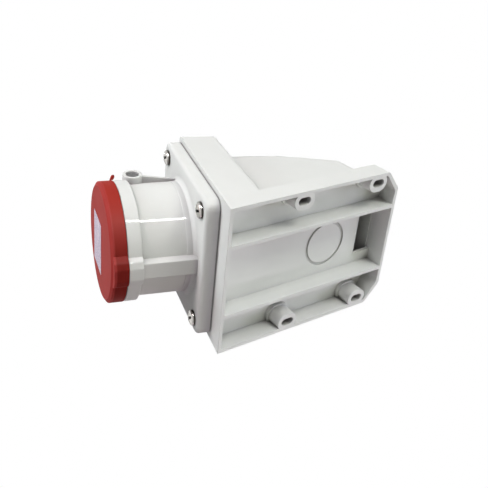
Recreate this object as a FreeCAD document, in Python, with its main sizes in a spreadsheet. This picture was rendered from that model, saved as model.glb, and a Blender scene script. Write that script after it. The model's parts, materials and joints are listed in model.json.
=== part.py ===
import FreeCAD, Part
import Sketcher
import math
import os

# Industrial wall socket, 32 A, five pole, in its mounted pose.
# +Z is up, the wall is the plane y = 0 and the socket hangs on its -Y side, mouth down.
# Everything that belongs to the flange is drawn in a tilted frame: across, out from the wall, along the barrel.

os.makedirs("parts", exist_ok=True)
doc = FreeCAD.newDocument("wall_socket")

# Driving dimensions in millimetres and degrees

DIMS = [
    ("tilt", 15.9, "lean of the barrel away from the wall"),
    ("box_margin", 3.0, "back box beyond the flange, each side"),
    ("box_length", 137.0, "back box along the wall"),
    ("wall_thick", 2.4, "moulded wall of the box"),
    ("origin_step", 1.2, "origin above the mouth end, on the middle of the rim bar"),
    ("panel_depth", 12.9, "wall plane to the recessed panel"),
    ("panel_thick", 2.1, "recessed panel"),
    ("corner_across", 13.4, "cut corner measured across"),
    ("corner_along", 11.0, "cut corner measured along"),
    ("corner_round", 4.5, "rounding beside the cut corner"),
    ("tray_edge_round", 1.5, "rounding of the tray's front edge"),
    ("rib_gap", 20.2, "long rib from the fixing slots"),
    ("rib_thick", 2.5, "long rib"),
    ("slot_inset", 6.5, "fixing slot inside the box's side"),
    ("slot_low", 55.0, "lower fixing slot from the mouth end"),
    ("slot_end", 20.0, "upper fixing slot from the top end"),
    ("slot_wide", 5.2, "fixing slot width"),
    ("slot_long", 9.4, "fixing slot length"),
    ("boss_wide", 12.4, "fixing boss width"),
    ("boss_long", 15.2, "fixing boss length"),
    ("foot_extra", 1.5, "foot ring of a boss beyond the boss"),
    ("foot_tall", 2.6, "foot ring of a boss"),
    ("ring_end", 47.0, "knock-out ring from the top end"),
    ("ring_radius", 16.4, "knock-out ring, outer"),
    ("ring_wide", 1.9, "knock-out groove width"),
    ("ring_deep", 0.9, "knock-out groove depth"),
    ("cutout_wide", 30.0, "cable cut-out across"),
    ("cutout_end", 18.0, "start of the cable cut-out from the top end"),
    ("block_short", 0.5, "block below the flange's far edge"),
    ("block_drop", 2.2, "fall of the block top towards its back"),
    ("block_thick", 25.2, "block at its top"),
    ("block_foot", 31.4, "back of the block where it meets the tray"),
    ("block_round", 3.2, "rounding of the block's edges"),
    ("end_wall", 3.0, "end face behind the flange"),
    ("hump_inset", 12.2, "hump inside the box's side"),
    ("hump_round", 10.0, "rounding of the hump's edges"),
    ("hump_below", 13.8, "hump below the block's top"),
    ("hump_level", 20.6, "level part of the hump behind the block's foot"),
    ("knee_fall", 16.6, "fall of the hump to its knee"),
    ("knee_end", 41.5, "knee from the top end"),
    ("end_fall", 25.9, "fall of the hump from its knee to its end"),
    ("end_top", 3.5, "top of the hump's end wall from the top end"),
    ("end_foot", 0.6, "foot of the hump's end wall from the top end"),
    ("axis_rise", 15.3, "wall plane to the flange's near edge"),
    ("mouth_margin", 3.4, "opening of the box beyond the seat"),
    ("gasket_thick", 1.0, "flange gasket"),
    ("gasket_inset", 0.5, "gasket edge inside the flange edge"),
    ("flange_margin", 12.1, "flange beyond the barrel"),
    ("flange_thick", 8.4, "flange"),
    ("flange_round", 6.5, "flange corner"),
    ("flange_edge", 2.4, "flange front edge rounding"),
    ("screw_inset", 9.2, "flange screw inside the flange's edge"),
    ("screw_radius", 2.0, "flange screw shank"),
    ("screw_fit", 0.05, "clearance round a screw shank"),
    ("screw_length", 22.0, "flange screw under its head"),
    ("head_radius", 4.9, "flange screw head"),
    ("head_tall", 2.7, "flange screw head"),
    ("pillar_radius", 4.8, "screw pillar in the box"),
    ("barrel_radius", 35.9, "barrel outside"),
    ("barrel_wall", 3.6, "barrel wall"),
    ("collar_step", 2.7, "collar beyond the barrel"),
    ("collar_long", 8.6, "collar along the barrel"),
    ("mouth_plane", 52.0, "front of the collar"),
    ("collar_edge", 0.5, "broken edges of the collar"),
    ("foot_round", 3.6, "rounding where the barrel meets the flange"),
    ("key_top", 5.3, "half width of the key ridge at its top, on the barrel"),
    ("key_crown", 4.0, "half width of the flat crown on collar and lid"),
    ("key_foot", 6.7, "half width of the key ridge at its foot, on the barrel"),
    ("key_foot_collar", 9.6, "the same on the collar"),
    ("key_foot_lid", 11.0, "the same on the lid"),
    ("key_shoulder", 8.1, "half width of the shoulder on collar and lid"),
    ("key_shoulder_drop", 1.9, "shoulder below the crown"),
    ("key_rise", 3.8, "key ridge beyond the barrel"),
    ("key_rise_collar", 4.0, "key ridge beyond the collar"),
    ("key_rise_lid", 4.3, "key ridge beyond the lid"),
    ("key_slot_half", 4.2, "half width of the keyway inside"),
    ("key_slot_deep", 3.7, "depth of the keyway"),
    ("eye_out", 17.0, "eye from the axis, away from the wall"),
    ("eye_set", 4.7, "eye behind the collar"),
    ("eye_radius", 6.3, "eye outside"),
    ("eye_hole", 4.3, "eye hole"),
    ("eye_below", 0.2, "face of the eye inside the collar's height"),
    ("eye_sink", 8.9, "eye's boss inside the barrel's height"),
    ("eye_blind", 7.0, "depth of the eye's hole"),
    ("web_thick", 2.0, "web beside the eye"),
    ("web_below", 2.7, "web at the flange, inside the barrel's height"),
    ("hinge_rise", 2.8, "hinge pin beyond the collar"),
    ("hinge_set", 4.8, "hinge pin behind the mouth plane"),
    ("pin_radius", 1.5, "hinge pin"),
    ("pin_fit", 0.05, "clearance round the hinge pin"),
    ("ear_radius", 4.0, "hinge ear"),
    ("ear_inner", 13.0, "inner face of a lid ear"),
    ("ear_thick", 4.8, "lid ear"),
    ("lug_thick", 5.4, "hinge lug of the collar"),
    ("lug_gap", 0.3, "gap between lug and ear"),
    ("lid_gap", 0.3, "gap between collar and lid"),
    ("lid_step", 0.2, "lid beyond the collar"),
    ("lid_side", 8.4, "lid side height"),
    ("lid_bevel", 1.4, "rise of the lid's face bevel"),
    ("lid_chamfer", 2.3, "bevel of the lid's face"),
    ("lid_wall", 2.6, "lid wall"),
    ("lid_rim", 8.2, "rim of the lid round its hollow"),
    ("tab_out", 17.2, "side tab of the lid from the axis, away from the wall"),
    ("tab_below", 0.6, "tip of the side tab inside the lid's height"),
    ("tab_thick", 2.0, "side tab"),
    ("seal_inset", 0.6, "lid seal outside the bore"),
    ("seal_wide", 3.1, "lid seal, radial"),
    ("seal_thick", 2.6, "lid seal"),
    ("seal_gap", 0.08, "clearance between the seal and the collar"),
    ("label_wide", 36.0, "bare label across"),
    ("label_tall", 24.5, "bare label height"),
    ("label_across", -4.7, "middle of the label from the axis, across"),
    ("label_out", 9.4, "middle of the label from the axis, away from the wall"),
    ("label_thick", 0.15, "bare label"),
    ("wire_radius", 0.5, "spring wire"),
    ("coil_radius", 2.2, "spring coil, middle of the wire"),
    ("coil_pitch", 1.2, "spring coil pitch"),
    ("coil_turns", 9.0, "spring turns"),
    ("leg_long", 9.0, "spring leg"),
    ("shoulder", 5.0, "seat of the contact carrier"),
    ("seat_step", 1.7, "seat bore beyond the barrel"),
    ("disc_play", 0.3, "clearance round the carrier disc"),
    ("disc_thick", 3.0, "carrier disc"),
    ("retainer_thick", 3.0, "retainer plate"),
    ("plug_room", 5.7, "ring for the plug round the core"),
    ("core_set", 7.0, "core behind the mouth plane"),
    ("core_edge", 1.0, "rounding of the core's front edge"),
    ("face_thick", 3.0, "front wall of the core"),
    ("contact_inset", 8.6, "contact circle inside the core"),
    ("phase_outer", 4.5, "phase sleeve outside"),
    ("phase_bore", 3.05, "phase sleeve bore"),
    ("earth_outer", 5.6, "earth sleeve outside"),
    ("earth_bore", 4.05, "earth sleeve bore"),
    ("sleeve_fit", 0.05, "clearance round a sleeve"),
    ("sleeve_slit", 0.8, "slit in a sleeve"),
    ("slit_start", 12.0, "start of the slit along the barrel"),
    ("sleeve_floor", 6.0, "floor of the contact bore along the barrel"),
    ("hole_play", 0.3, "clearance of a plain hole"),
    ("sleeve_back", 15.0, "sleeve behind the flange gasket plane"),
    ("sleeve_rim", 1.1, "rim of a sleeve beyond the sleeve"),
    ("rim_thick", 1.8, "rim of a sleeve"),
    ("wire_hole", 2.6, "wire hole radius in a terminal"),
    ("wire_deep", 11.0, "wire hole depth"),
    ("clamp_radius", 1.75, "terminal screw"),
    ("clamp_head", 2.9, "terminal screw head"),
    ("clamp_tall", 2.2, "terminal screw head"),
    ("clamp_set", 5.4, "terminal screw from the sleeve's rear"),
    ("fix_inset", 2.7, "carrier screws inside the seat"),
    ("fix_radius", 1.45, "carrier screw"),
    ("fix_long", 10.5, "carrier screw under its head"),
    ("fix_head", 2.5, "carrier screw head"),
    ("fix_tall", 2.0, "carrier screw head height"),
]

# Dimensions that follow from others

TIED = [
    ("flange_half", "barrel_radius + flange_margin", "half side of the flange"),
    ("box_width", "2 * (flange_half + box_margin)", "back box across"),
    ("axis_out", "flange_half + axis_rise", "barrel axis out from the wall"),
    ("block_top", "axis_out + flange_half - block_short", "block height out from the wall, along the end face"),
    ("slot_across", "box_width / 2 - slot_inset", "fixing slot from the centre line"),
    ("rib_place", "slot_across - rib_gap", "middle of a long rib from the centre line"),
    ("hump_half", "box_width / 2 - hump_inset", "half width of the hump"),
    ("slot_pitch", "box_length - slot_low - slot_end", "pitch of the fixing slots"),
    ("ring_place", "box_length - ring_end", "knock-out ring from the mouth end"),
    ("cutout_start", "box_length - cutout_end", "cable cut-out from the mouth end"),
    ("hump_start", "block_top - hump_below", "hump height at the block"),
    ("hump_knee", "hump_start - knee_fall", "hump height at the knee"),
    ("hump_knee_place", "box_length - knee_end", "knee from the mouth end"),
    ("hump_end", "hump_knee - end_fall", "hump height at its end"),
    ("hump_end_place", "box_length - end_top", "top of the hump's end wall"),
    ("hump_end_foot", "box_length - end_foot", "foot of the hump's end wall"),
    ("screw_place", "flange_half - screw_inset", "flange screw from the axis, both ways"),
    ("bore_radius", "barrel_radius - barrel_wall", "barrel inside"),
    ("collar_radius", "barrel_radius + collar_step", "collar outside"),
    ("collar_start", "mouth_plane - collar_long", "rear of the collar"),
    ("lid_radius", "collar_radius + lid_step", "lid outside"),
    ("lid_face_radius", "lid_radius - lid_chamfer", "flat face of the lid"),
    ("lid_inner", "lid_radius - lid_rim", "hollow of the lid"),
    ("key_on_barrel", "barrel_radius + key_rise", "key ridge height on the barrel"),
    ("key_on_collar", "collar_radius + key_rise_collar", "key ridge height on the collar"),
    ("key_on_lid", "lid_radius + key_rise_lid", "key ridge height on the lid"),
    ("key_slot_top", "bore_radius + key_slot_deep", "keyway depth from the axis"),
    ("eye_face", "collar_radius - eye_below", "outer face of the eye across"),
    ("eye_root", "barrel_radius - eye_sink", "inner end of the eye's boss across"),
    ("eye_place", "collar_start - eye_set", "eye along the barrel"),
    ("web_low", "barrel_radius - web_below", "web height at the flange"),
    ("hinge_out", "collar_radius + hinge_rise", "hinge pin from the axis"),
    ("hinge_place", "mouth_plane - hinge_set", "hinge pin along the barrel"),
    ("tab_across", "lid_radius - tab_below", "tip of the side tab across"),
    ("seal_inner", "bore_radius + seal_inset", "lid seal inside"),
    ("seal_outer", "seal_inner + seal_wide", "lid seal outside"),
    ("seat_radius", "barrel_radius + seat_step", "seat bore"),
    ("disc_radius", "seat_radius - disc_play", "carrier disc and retainer"),
    ("mouth_hole", "seat_radius + mouth_margin", "round opening of the box, radius"),
    ("core_radius", "bore_radius - plug_room", "carrier core"),
    ("core_front", "mouth_plane - core_set", "front of the carrier core"),
    ("contact_ring", "core_radius - contact_inset", "contact circle radius"),
    ("fix_ring", "seat_radius - fix_inset", "carrier screw circle"),
    ("clamp_place", "clamp_set - sleeve_back", "terminal screw along the barrel"),
]

value = {}


def worth(text):
    """Value of an expression written with the sheet's words."""
    names = dict(value)
    names["sin"] = lambda a: math.sin(math.radians(a))
    names["cos"] = lambda a: math.cos(math.radians(a))
    names["tan"] = lambda a: math.tan(math.radians(a))
    total = calc(text, names)
    return total


def calc(text, names):
    """Small reader for sums, products and the three angle functions."""
    tokens = []
    word = ""
    for ch in text + " ":
        if ch.isalnum() or ch in "._":
            word += ch
            continue
        if word:
            tokens.append(word)
            word = ""
        if ch != " ":
            tokens.append(ch)
    place = [0]

    def peek():
        return tokens[place[0]] if place[0] < len(tokens) else None

    def take():
        place[0] += 1
        return tokens[place[0] - 1]

    def atom():
        token = take()
        if token == "(":
            inner = total()
            take()
            return inner
        if token == "-":
            return -atom()
        if token in names:
            found = names[token]
            if callable(found):
                take()
                inner = total()
                take()
                return found(inner)
            return found
        return float(token)

    def product():
        left = atom()
        while peek() in ("*", "/"):
            if take() == "*":
                left = left * atom()
            else:
                left = left / atom()
        return left

    def total():
        left = product()
        while peek() in ("+", "-"):
            if take() == "+":
                left = left + product()
            else:
                left = left - product()
        return left

    return total()


sheet = doc.addObject("Spreadsheet::Sheet", "sizes")
for row, (word, number, note) in enumerate(DIMS + TIED, start=1):
    tied = isinstance(number, str)
    sheet.set("A%d" % row, word)
    sheet.set("B%d" % row, "=" + number if tied else str(number))
    sheet.set("C%d" % row, note)
    sheet.setAlias("B%d" % row, word)
    value[word] = worth(number) if tied else number
doc.recompute()

TURN = FreeCAD.Rotation(FreeCAD.Vector(1, 0, 0), 180.0 - value["tilt"])
FLAT = FreeCAD.Rotation()
ORIGIN = FreeCAD.Vector(0, 0, 0)
LEAN = math.radians(value["tilt"])


def bound(text):
    """The same expression as the document understands it."""
    out = ""
    word = ""
    for ch in text + " ":
        if ch.isalnum() or ch in "._":
            word += ch
            continue
        if word in value:
            word = "sizes." + word
        out += word + ch
        word = ""
    return out.strip()


def drive(obj, prop, text):
    """Bind one property to the sheet."""
    obj.setExpression(prop, bound(text))


def tilted(obj):
    obj.Placement = FreeCAD.Placement(ORIGIN, TURN)
    return obj


# Part primitives with sheet-bound sizes

def block(name, x, y, z, wide, deep, tall, turned=False):
    obj = doc.addObject("Part::Box", name)
    for prop, text in (("Length", wide), ("Width", deep), ("Height", tall)):
        drive(obj, prop, text)
    rotation = TURN if turned else FLAT
    obj.Placement = FreeCAD.Placement(rotation.multVec(FreeCAD.Vector(worth(x), worth(y), worth(z))), rotation)
    return obj


def rod(name, x, y, z, radius, tall, turned=False, along="Z"):
    obj = doc.addObject("Part::Cylinder", name)
    drive(obj, "Radius", radius)
    drive(obj, "Height", tall)
    own = {"Z": FreeCAD.Rotation(),
           "X": FreeCAD.Rotation(FreeCAD.Vector(0, 1, 0), 90),
           "Y": FreeCAD.Rotation(FreeCAD.Vector(1, 0, 0), -90)}[along]
    rotation = TURN if turned else FLAT
    place = rotation.multVec(FreeCAD.Vector(worth(x), worth(y), worth(z)))
    obj.Placement = FreeCAD.Placement(place, rotation.multiply(own))
    return obj


def cone(name, x, y, z, low, high, tall, turned=False):
    obj = doc.addObject("Part::Cone", name)
    drive(obj, "Radius1", low)
    drive(obj, "Radius2", high)
    drive(obj, "Height", tall)
    rotation = TURN if turned else FLAT
    obj.Placement = FreeCAD.Placement(rotation.multVec(FreeCAD.Vector(worth(x), worth(y), worth(z))), rotation)
    return obj


def fuse(name, items):
    obj = doc.addObject("Part::MultiFuse", name)
    obj.Shapes = items
    obj.Refine = True
    return obj


def cut(name, base, tool):
    obj = doc.addObject("Part::Cut", name)
    obj.Base = base
    obj.Tool = tool
    obj.Refine = True
    return obj


def common(name, first, second):
    obj = doc.addObject("Part::MultiCommon", name)
    obj.Shapes = [first, second]
    return obj


# Bodies with sheet-driven sketches

def body(name):
    obj = doc.addObject("PartDesign::Body", name)
    doc.recompute()
    return obj


def plane(owner, role):
    for feature in owner.Origin.OriginFeatures:
        if feature.Role == role:
            return feature


def outline(owner, name, role, corners):
    """Closed outline; every corner sits at two sheet expressions."""
    sketch = owner.newObject("Sketcher::SketchObject", name)
    sketch.AttachmentSupport = [(plane(owner, role), "")]
    sketch.MapMode = "FlatFace"
    spots = [FreeCAD.Vector(worth(a), worth(b), 0) for a, b in corners]
    count = len(spots)
    for k in range(count):
        sketch.addGeometry(Part.LineSegment(spots[k], spots[(k + 1) % count]), False)
    for k in range(count):
        close_corner(sketch, k, count)
    for k in range(count):
        for kind, text, number in (("DistanceX", corners[k][0], spots[k].x), ("DistanceY", corners[k][1], spots[k].y)):
            pin(sketch, k, kind, text, number)
    return sketch


def close_corner(sketch, k, count):
    """Join the end of one side to the start of the next."""
    sketch.addConstraint(Sketcher.Constraint("Coincident", k, 2, (k + 1) % count, 1))


def pin(sketch, side, kind, text, number):
    """Hold the start of a side at a distance from the origin."""
    if abs(number) < 1e-9:
        on = -2 if kind == "DistanceX" else -1
        sketch.addConstraint(Sketcher.Constraint("PointOnObject", side, 1, on))
        return
    if number > 0:
        at = sketch.addConstraint(Sketcher.Constraint(kind, -1, 1, side, 1, number))
        sketch.setExpression("Constraints[%d]" % at, bound(text))
    else:
        at = sketch.addConstraint(Sketcher.Constraint(kind, side, 1, -1, 1, -number))
        sketch.setExpression("Constraints[%d]" % at, "-(" + bound(text) + ")")


def pad(owner, name, sketch, length, middle=False, back=False):
    obj = owner.newObject("PartDesign::Pad", name)
    obj.Profile = sketch
    drive(obj, "Length", length)
    obj.Midplane = middle
    obj.Reversed = back
    sketch.Visibility = False
    doc.recompute()
    return obj


def soften(owner, name, base, radius, chosen):
    """Fillet the edges that the test picks."""
    doc.recompute()
    picks = []
    for number, edge in enumerate(base.Shape.Edges, start=1):
        if chosen(edge):
            picks.append("Edge%d" % number)
    obj = owner.newObject("PartDesign::Fillet", name)
    obj.Base = (base, picks)
    drive(obj, "Radius", radius)
    doc.recompute()
    return obj


def revolve(owner, name, sketch, axis_role):
    obj = owner.newObject("PartDesign::Revolution", name)
    obj.Profile = sketch
    obj.ReferenceAxis = (plane(owner, axis_role), [""])
    obj.Angle = 360.0
    sketch.Visibility = False
    doc.recompute()
    return obj


def middle_of(edge):
    return edge.valueAt((edge.FirstParameter + edge.LastParameter) / 2.0)


def along(edge, direction):
    """Whether a straight edge runs in a direction."""
    if len(edge.Vertexes) < 2:
        return False
    run = edge.Vertexes[1].Point.sub(edge.Vertexes[0].Point)
    if run.Length < 1e-6:
        return False
    run.normalize()
    return abs(abs(run.dot(direction)) - 1.0) < 1e-4


AX = FreeCAD.Vector(1, 0, 0)
AY = FreeCAD.Vector(0, 1, 0)
AZ = FreeCAD.Vector(0, 0, 1)

# Back box: tray outline with two cut corners

half = "box_width / 2"
tray_corners = [
    ("-" + half, "0"),
    (half, "0"),
    (half, "box_length - corner_along"),
    (half + " - corner_across", "box_length"),
    ("corner_across - " + half, "box_length"),
    ("-" + half, "box_length - corner_along"),
]
tray = body("tray")
tray_pad = pad(tray, "tray_pad", outline(tray, "tray_outline", "XZ_Plane", tray_corners), "panel_depth + panel_thick")
tray_soft = soften(tray, "tray_corners", tray_pad, "corner_round",
                   lambda e: along(e, AY) and middle_of(e).z > value["box_length"] / 2)
tray_soft = soften(tray, "tray_front_edge", tray_soft, "tray_edge_round",
                   lambda e: middle_of(e).z > value["wall_thick"]
                   and abs(middle_of(e).y + value["panel_depth"] + value["panel_thick"]) < 1e-4)

# Tall block behind the flange, leaning like the end face

start = "panel_depth"
block_corners = [
    ("-" + start, start + " * tan(tilt)"),
    ("-block_top * cos(tilt)", "block_top * sin(tilt)"),
    ("-(block_top - block_drop) * cos(tilt) + block_thick * sin(tilt)",
     "(block_top - block_drop) * sin(tilt) + block_thick * cos(tilt)"),
    ("-" + start, "block_foot"),
]
tall = body("tall_block")
tall_pad = pad(tall, "tall_pad", outline(tall, "tall_outline", "YZ_Plane", block_corners), "box_width", middle=True)


def block_edge(e):
    spot = middle_of(e)
    on_end = abs(spot.y * math.sin(LEAN) + spot.z * math.cos(LEAN)) < 0.05
    low = spot.y > -value["panel_depth"] - 0.5
    return not on_end and not low


tall_soft = soften(tall, "tall_edges", tall_pad, "block_round", block_edge)

# Hump over the wiring space, falling towards the top end

hump_corners = [
    ("-panel_depth", "block_foot - 6"),
    ("-hump_start", "block_foot - 6"),
    ("-hump_start", "block_foot + hump_level"),
    ("-hump_knee", "hump_knee_place"),
    ("-hump_end", "hump_end_place"),
    ("-panel_depth", "hump_end_foot"),
]
hump = body("hump")
hump_pad = pad(hump, "hump_pad", outline(hump, "hump_outline", "YZ_Plane", hump_corners), "2 * hump_half", middle=True)


def hump_edge(e):
    spot = middle_of(e)
    if spot.z < value["block_foot"] - 5.5:
        return False
    return spot.y < -value["panel_depth"] - 0.5


hump_soft = soften(hump, "hump_edges", hump_pad, "hump_round", hump_edge)

solid_box = fuse("solid_box", [tray, tall, hump])
front_room = block("front_room", "-box_width", "-box_width", "0", "2 * box_width", "3 * box_width", "box_width", turned=True)
box_shell = cut("box_shell", solid_box, front_room)

# Bays behind the panel, with ribs, bosses and their foot rings left standing

inner = "(box_width / 2 - wall_thick)"
bay_corners = [
    ("-" + inner, "-5"),
    (inner, "-5"),
    (inner, "box_length - corner_along - wall_thick / 2"),
    (inner + " - corner_across + wall_thick / 3", "box_length - wall_thick"),
    ("-" + inner + " + corner_across - wall_thick / 3", "box_length - wall_thick"),
    ("-" + inner, "box_length - corner_along - wall_thick / 2"),
]
bay = body("bay_core")
bay_pad = pad(bay, "bay_pad", outline(bay, "bay_outline", "XZ_Plane", bay_corners), "panel_depth")
bay_soft = soften(bay, "bay_corners", bay_pad, "corner_round - wall_thick / 2",
                  lambda e: along(e, AY) and middle_of(e).z > value["box_length"] / 2)
end_keep = block("end_keep", "-box_width", "-box_width", "-wall_thick", "2 * box_width", "3 * box_width", "box_width", turned=True)

standing = [end_keep]
for side, sign in (("left", "-"), ("right", "")):
    standing.append(block("rib_" + side, sign + "rib_place - rib_thick / 2", "-panel_depth - 1", "-1",
                          "rib_thick", "panel_depth + 1", "box_length"))


def capsule(name, x, z, wide, long, y, deep):
    """Slot-shaped prism along Y with its long side along Z."""
    parts = [
        block(name + "_mid", "%s - (%s) / 2" % (x, wide), y, "%s - (%s) / 2 + (%s) / 2" % (z, long, wide),
              wide, deep, "%s - (%s)" % (long, wide)),
        rod(name + "_low", x, y, "%s - (%s) / 2 + (%s) / 2" % (z, long, wide), "(%s) / 2" % wide, deep, along="Y"),
        rod(name + "_high", x, y, "%s + (%s) / 2 - (%s) / 2" % (z, long, wide), "(%s) / 2" % wide, deep, along="Y"),
    ]
    return fuse(name, parts)


slots = []
for side, sign in (("left", "-"), ("right", "")):
    for level, z in (("low", "slot_low"), ("high", "slot_low + slot_pitch")):
        tag = "%s_%s" % (side, level)
        x = sign + "slot_across"
        standing.append(capsule("boss_" + tag, x, z, "boss_wide", "boss_long", "-panel_depth - 0.5", "panel_depth + 0.5"))
        standing.append(capsule("foot_" + tag, x, z, "boss_wide + 2 * foot_extra", "boss_long + 2 * foot_extra",
                                "-panel_depth - 0.5", "foot_tall + 0.5"))
        slots.append(capsule("slot_" + tag, x, z, "slot_wide", "slot_long",
                             "-panel_depth - panel_thick - 1", "panel_depth + panel_thick + 2"))
standing_all = fuse("standing_all", standing)
bays = cut("bays", bay, standing_all)

# Hollow of the block and of the hump, the round opening and the cable cut-out

floor = "(panel_depth + panel_thick)"
room_corners = [
    ("-" + floor, floor + " * tan(tilt) + end_wall / cos(tilt)"),
    ("-(block_top - wall_thick) * cos(tilt) + end_wall * sin(tilt)",
     "(block_top - wall_thick) * sin(tilt) + end_wall * cos(tilt)"),
    ("-(block_top - block_drop - wall_thick) * cos(tilt) + (block_thick - wall_thick) * sin(tilt)",
     "(block_top - block_drop - wall_thick) * sin(tilt) + (block_thick - wall_thick) * cos(tilt)"),
    ("-" + floor, "block_foot - wall_thick"),
]
room = body("block_room")
room_pad = pad(room, "room_pad", outline(room, "room_outline", "YZ_Plane", room_corners),
               "box_width - 2 * wall_thick", middle=True)
wiring_corners = [
    ("-" + floor, "block_foot - 8"),
    ("-(hump_start - wall_thick)", "block_foot - 8"),
    ("-(hump_start - wall_thick)", "block_foot + hump_level"),
    ("-(hump_knee - wall_thick)", "hump_knee_place - 0.6"),
    ("-(hump_end - wall_thick * 0.4)", "hump_end_place - wall_thick - 0.4"),
    ("-" + floor, "hump_end_foot - wall_thick"),
]
wiring = body("wiring_room")
wiring_pad = pad(wiring, "wiring_pad", outline(wiring, "wiring_outline", "YZ_Plane", wiring_corners),
                 "2 * hump_half - 2 * wall_thick", middle=True)


def wiring_edge(e):
    spot = middle_of(e)
    if spot.z < value["block_foot"] - 7.5:
        return False
    return spot.y < -value["panel_depth"] - value["panel_thick"] - 0.5


wiring_soft = soften(wiring, "wiring_edges", wiring_pad, "hump_round - wall_thick", wiring_edge)
opening = rod("opening", "0", "axis_out", "-end_wall - 1", "mouth_hole", "end_wall + 2", turned=True)
cutout = block("cutout", "-cutout_wide / 2", "-panel_depth - panel_thick - 1", "cutout_start",
               "cutout_wide", "panel_thick + 2", "box_length - wall_thick - cutout_start")
rooms = fuse("rooms", [room, wiring])

# Screw pillars stay in the hollow

pillars = []
pilots = []
corners_four = []
for number, (sx, sy) in enumerate((("-", "-"), ("", "-"), ("-", "+"), ("", "+")), start=1):
    x = sx + "screw_place"
    y = "axis_out %s screw_place" % (sy if sy == "+" else "-")
    corners_four.append((number, x, y))
    pillars.append(rod("pillar_%d" % number, x, y, "-block_thick", "pillar_radius", "block_thick - 1", turned=True))
    pilots.append(rod("pilot_%d" % number, x, y, "-block_thick + wall_thick + 1.5", "screw_radius + screw_fit",
                      "block_thick", turned=True))
pillars_all = fuse("pillars_all", pillars)
rooms_left = cut("rooms_left", rooms, pillars_all)

ring_outer = rod("ring_outer", "0", "-panel_depth - ring_deep", "ring_place", "ring_radius", "ring_deep + 1", along="Y")
ring_inner = rod("ring_inner", "0", "-panel_depth - ring_deep - 1", "ring_place", "ring_radius - ring_wide",
                 "ring_deep + 3", along="Y")
ring_groove = cut("ring_groove", ring_outer, ring_inner)

hollows = fuse("hollows", [bays, rooms_left, opening, cutout, ring_groove] + slots + pilots)
wall_box = cut("wall_box", box_shell, hollows)

# Flange gasket

gasket_half = "(flange_half - gasket_inset)"


def square(name, half_side, z, tall, rounding):
    """Square plate about the barrel axis with rounded corners, in the tilted frame."""
    owner = body(name)
    low = "axis_out - %s" % half_side
    high = "axis_out + %s" % half_side
    corners = [("-" + half_side, low), (half_side, low), (half_side, high), ("-" + half_side, high)]
    sketch = outline(owner, name + "_outline", "XY_Plane", corners)
    sketch.AttachmentOffset = FreeCAD.Placement(FreeCAD.Vector(0, 0, worth(z)), FLAT)
    sketch.setExpression("AttachmentOffset.Base.z", bound(z))
    plate = pad(owner, name + "_pad", sketch, tall)
    plate = soften(owner, name + "_corners", plate, rounding, lambda e: along(e, AZ))
    tilted(owner)
    return owner, plate


gasket_plate, gasket_last = square("gasket_plate", gasket_half, "0", "gasket_thick", "flange_round - gasket_inset")
gasket_holes = [rod("gasket_bore", "0", "axis_out", "-1", "mouth_hole", "gasket_thick + 2", turned=True)]
for number, x, y in corners_four:
    gasket_holes.append(rod("gasket_hole_%d" % number, x, y, "-1", "screw_radius + hole_play", "gasket_thick + 2",
                            turned=True))
flange_gasket = cut("flange_gasket", gasket_plate, fuse("gasket_holes", gasket_holes))

# Housing: flange, barrel, collar and key ridge

flange_back = "gasket_thick"
flange_front = "(gasket_thick + flange_thick)"
flange_plate, flange_last = square("flange_plate", "flange_half", flange_back, "flange_thick", "flange_round")
flange_last = soften(flange_plate, "flange_front_edge", flange_last, "flange_edge",
                     lambda e: abs(middle_of(e).z - worth(flange_front)) < 1e-4)
barrel_corners = [
    ("seat_radius", "gasket_thick + 1"),
    ("barrel_radius + foot_round", "gasket_thick + 1"),
    ("barrel_radius + foot_round", flange_front),
    ("barrel_radius", flange_front),
    ("barrel_radius", "collar_start"),
    ("collar_radius", "collar_start"),
    ("collar_radius", "mouth_plane"),
    ("bore_radius", "mouth_plane"),
    ("bore_radius", "shoulder"),
    ("seat_radius", "shoulder"),
]


def turned_piece(name, corners, soft=()):
    """Revolved body about the barrel axis, in the tilted frame."""
    owner = body(name)
    sketch = outline(owner, name + "_outline", "XZ_Plane", corners)
    last = revolve(owner, name + "_turn", sketch, "Z_Axis")
    for tag, radius, chosen in soft:
        last = soften(owner, name + "_" + tag, last, radius, chosen)
    shift = TURN.multVec(FreeCAD.Vector(0, value["axis_out"], 0))
    owner.Placement = FreeCAD.Placement(shift, TURN)
    return owner


def ring_edge(radius, height):
    """Test for a round edge of a turned piece."""
    def test(e):
        spot = e.Vertexes[0].Point
        flat = abs(e.Vertexes[-1].Point.z - spot.z) < 1e-6
        away = math.hypot(spot.x, spot.y)
        return flat and abs(away - worth(radius)) < 1e-3 and abs(spot.z - worth(height)) < 1e-3
    return test


barrel = turned_piece("barrel", barrel_corners, (
    ("foot", "foot_round - 0.05", ring_edge("barrel_radius", flange_front)),
    ("back_edge", "collar_edge", ring_edge("collar_radius", "collar_start")),
    ("lip", "collar_edge", ring_edge("collar_radius", "mouth_plane")),
))


def ridge(name, low, tall, rounding, side):
    """Key ridge towards the wall, along the barrel; side runs from its foot to its crown."""
    owner = body(name)
    corners = [("-" + side[0][0], "-barrel_radius + 3")]
    corners += [("-" + a, "-" + b) for a, b in side]
    corners += [(a, "-" + b) for a, b in reversed(side)]
    corners += [(side[0][0], "-barrel_radius + 3")]
    shoulder = worth(side[1][1])
    sketch = outline(owner, name + "_outline", "XY_Plane", corners)
    sketch.AttachmentOffset = FreeCAD.Placement(FreeCAD.Vector(0, 0, worth(low)), FLAT)
    sketch.setExpression("AttachmentOffset.Base.z", bound(low))
    piece = pad(owner, name + "_pad", sketch, tall)
    soften(owner, name + "_soft", piece, rounding,
           lambda e: along(e, AZ) and middle_of(e).y < 0.1 - shoulder)
    shift = TURN.multVec(FreeCAD.Vector(0, value["axis_out"], 0))
    owner.Placement = FreeCAD.Placement(shift, TURN)
    return owner


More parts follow.
